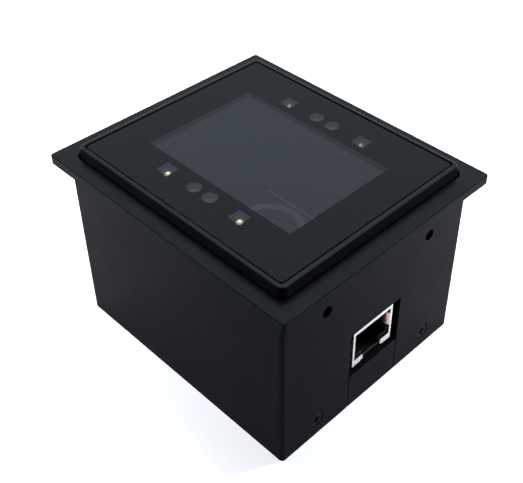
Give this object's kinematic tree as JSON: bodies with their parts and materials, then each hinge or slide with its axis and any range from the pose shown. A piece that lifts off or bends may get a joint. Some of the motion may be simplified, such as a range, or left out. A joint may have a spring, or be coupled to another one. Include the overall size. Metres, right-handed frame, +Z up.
{
  "type": "fixed mount barcode scanner",
  "caption": "Box-shaped fixed mount code scanner with a flange round its top, a raised bezel with a dark glass reading window, and a network socket in one side.",
  "frame": {"origin": "middle of the underside", "axes": "+Z up, in the reading direction, out of the glass; X along the short side; Y along the long side; the network socket is in the -Y face"},
  "size_m": [0.0676, 0.0786, 0.0527],
  "materials": {
    "body_plastic": "black moulded plastic with a fine grain",
    "bezel_plastic": "smoother black plastic, satin",
    "printed_glass": "dark tinted glass with black print on its underside round a clear window",
    "seal_foam": "black adhesive foam",
    "board_green": "green board lacquer",
    "chip_black": "black moulding compound",
    "lamp_white": "warm white lamp resin",
    "clear_lens": "clear lens",
    "screw_steel": "dark zinc-plated steel",
    "socket_metal": "bright tinned sheet metal",
    "contact_gold": "gold plating",
    "matte_black": "matte black plastic",
    "ribbon_white": "white flat cable",
    "connector_cream": "cream connector plastic"
  },
  "bodies": {
    "scanner": {"aiming_lamp_1": "clear_lens", "aiming_lamp_2": "clear_lens", "beeper": "matte_black", "bezel_screw_1": "screw_steel", "bezel_screw_2": "screw_steel", "bezel_screw_3": "screw_steel", "bezel_screw_4": "screw_steel", "bottom_cover": "body_plastic", "camera_block": "matte_black", "camera_screw_1": "screw_steel", "camera_screw_2": "screw_steel", "cover_screw_1": "screw_steel", "cover_screw_2": "screw_steel", "cover_screw_3": "screw_steel", "cover_screw_4": "screw_steel", "crystal": "socket_metal", "decoder_chip": "chip_black", "front_bezel": "bezel_plastic", "front_glass": "printed_glass", "glass_seal": "seal_foam", "illumination_board": "board_green", "illumination_board_screw_1": "screw_steel", "illumination_board_screw_2": "screw_steel", "illumination_board_screw_3": "screw_steel", "illumination_board_screw_4": "screw_steel", "image_sensor": "chip_black", "interface_chip": "chip_black", "light_shroud": "matte_black", "main_board": "board_green", "main_board_screw_1": "screw_steel", "main_board_screw_2": "screw_steel", "main_board_screw_3": "screw_steel", "main_board_screw_4": "screw_steel", "main_housing": "body_plastic", "memory_chip": "chip_black", "network_socket_body": "matte_black", "network_socket_contact_1": "contact_gold", "network_socket_contact_2": "contact_gold", "network_socket_contact_3": "contact_gold", "network_socket_contact_4": "contact_gold", "network_socket_contact_5": "contact_gold", "network_socket_contact_6": "contact_gold", "network_socket_contact_7": "contact_gold", "network_socket_contact_8": "contact_gold", "network_socket_shell": "socket_metal", "power_inductor": "chip_black", "presence_emitter": "clear_lens", "presence_receiver": "clear_lens", "ribbon_cable": "ribbon_white", "ribbon_connector_lower": "connector_cream", "ribbon_connector_upper": "connector_cream", "white_lamp_1": "lamp_white", "white_lamp_2": "lamp_white", "white_lamp_3": "lamp_white", "white_lamp_4": "lamp_white"},
    "lens": {"lens_barrel": "matte_black", "lens_glass": "clear_lens"}
  },
  "joints": [
    {"name": "focus_turn", "type": "hinge", "parent": "scanner", "child": "lens", "pos_m": [0, 0, 0.0241], "axis": [0, 0, 1], "range_deg": [-180, 180]}
  ]
}
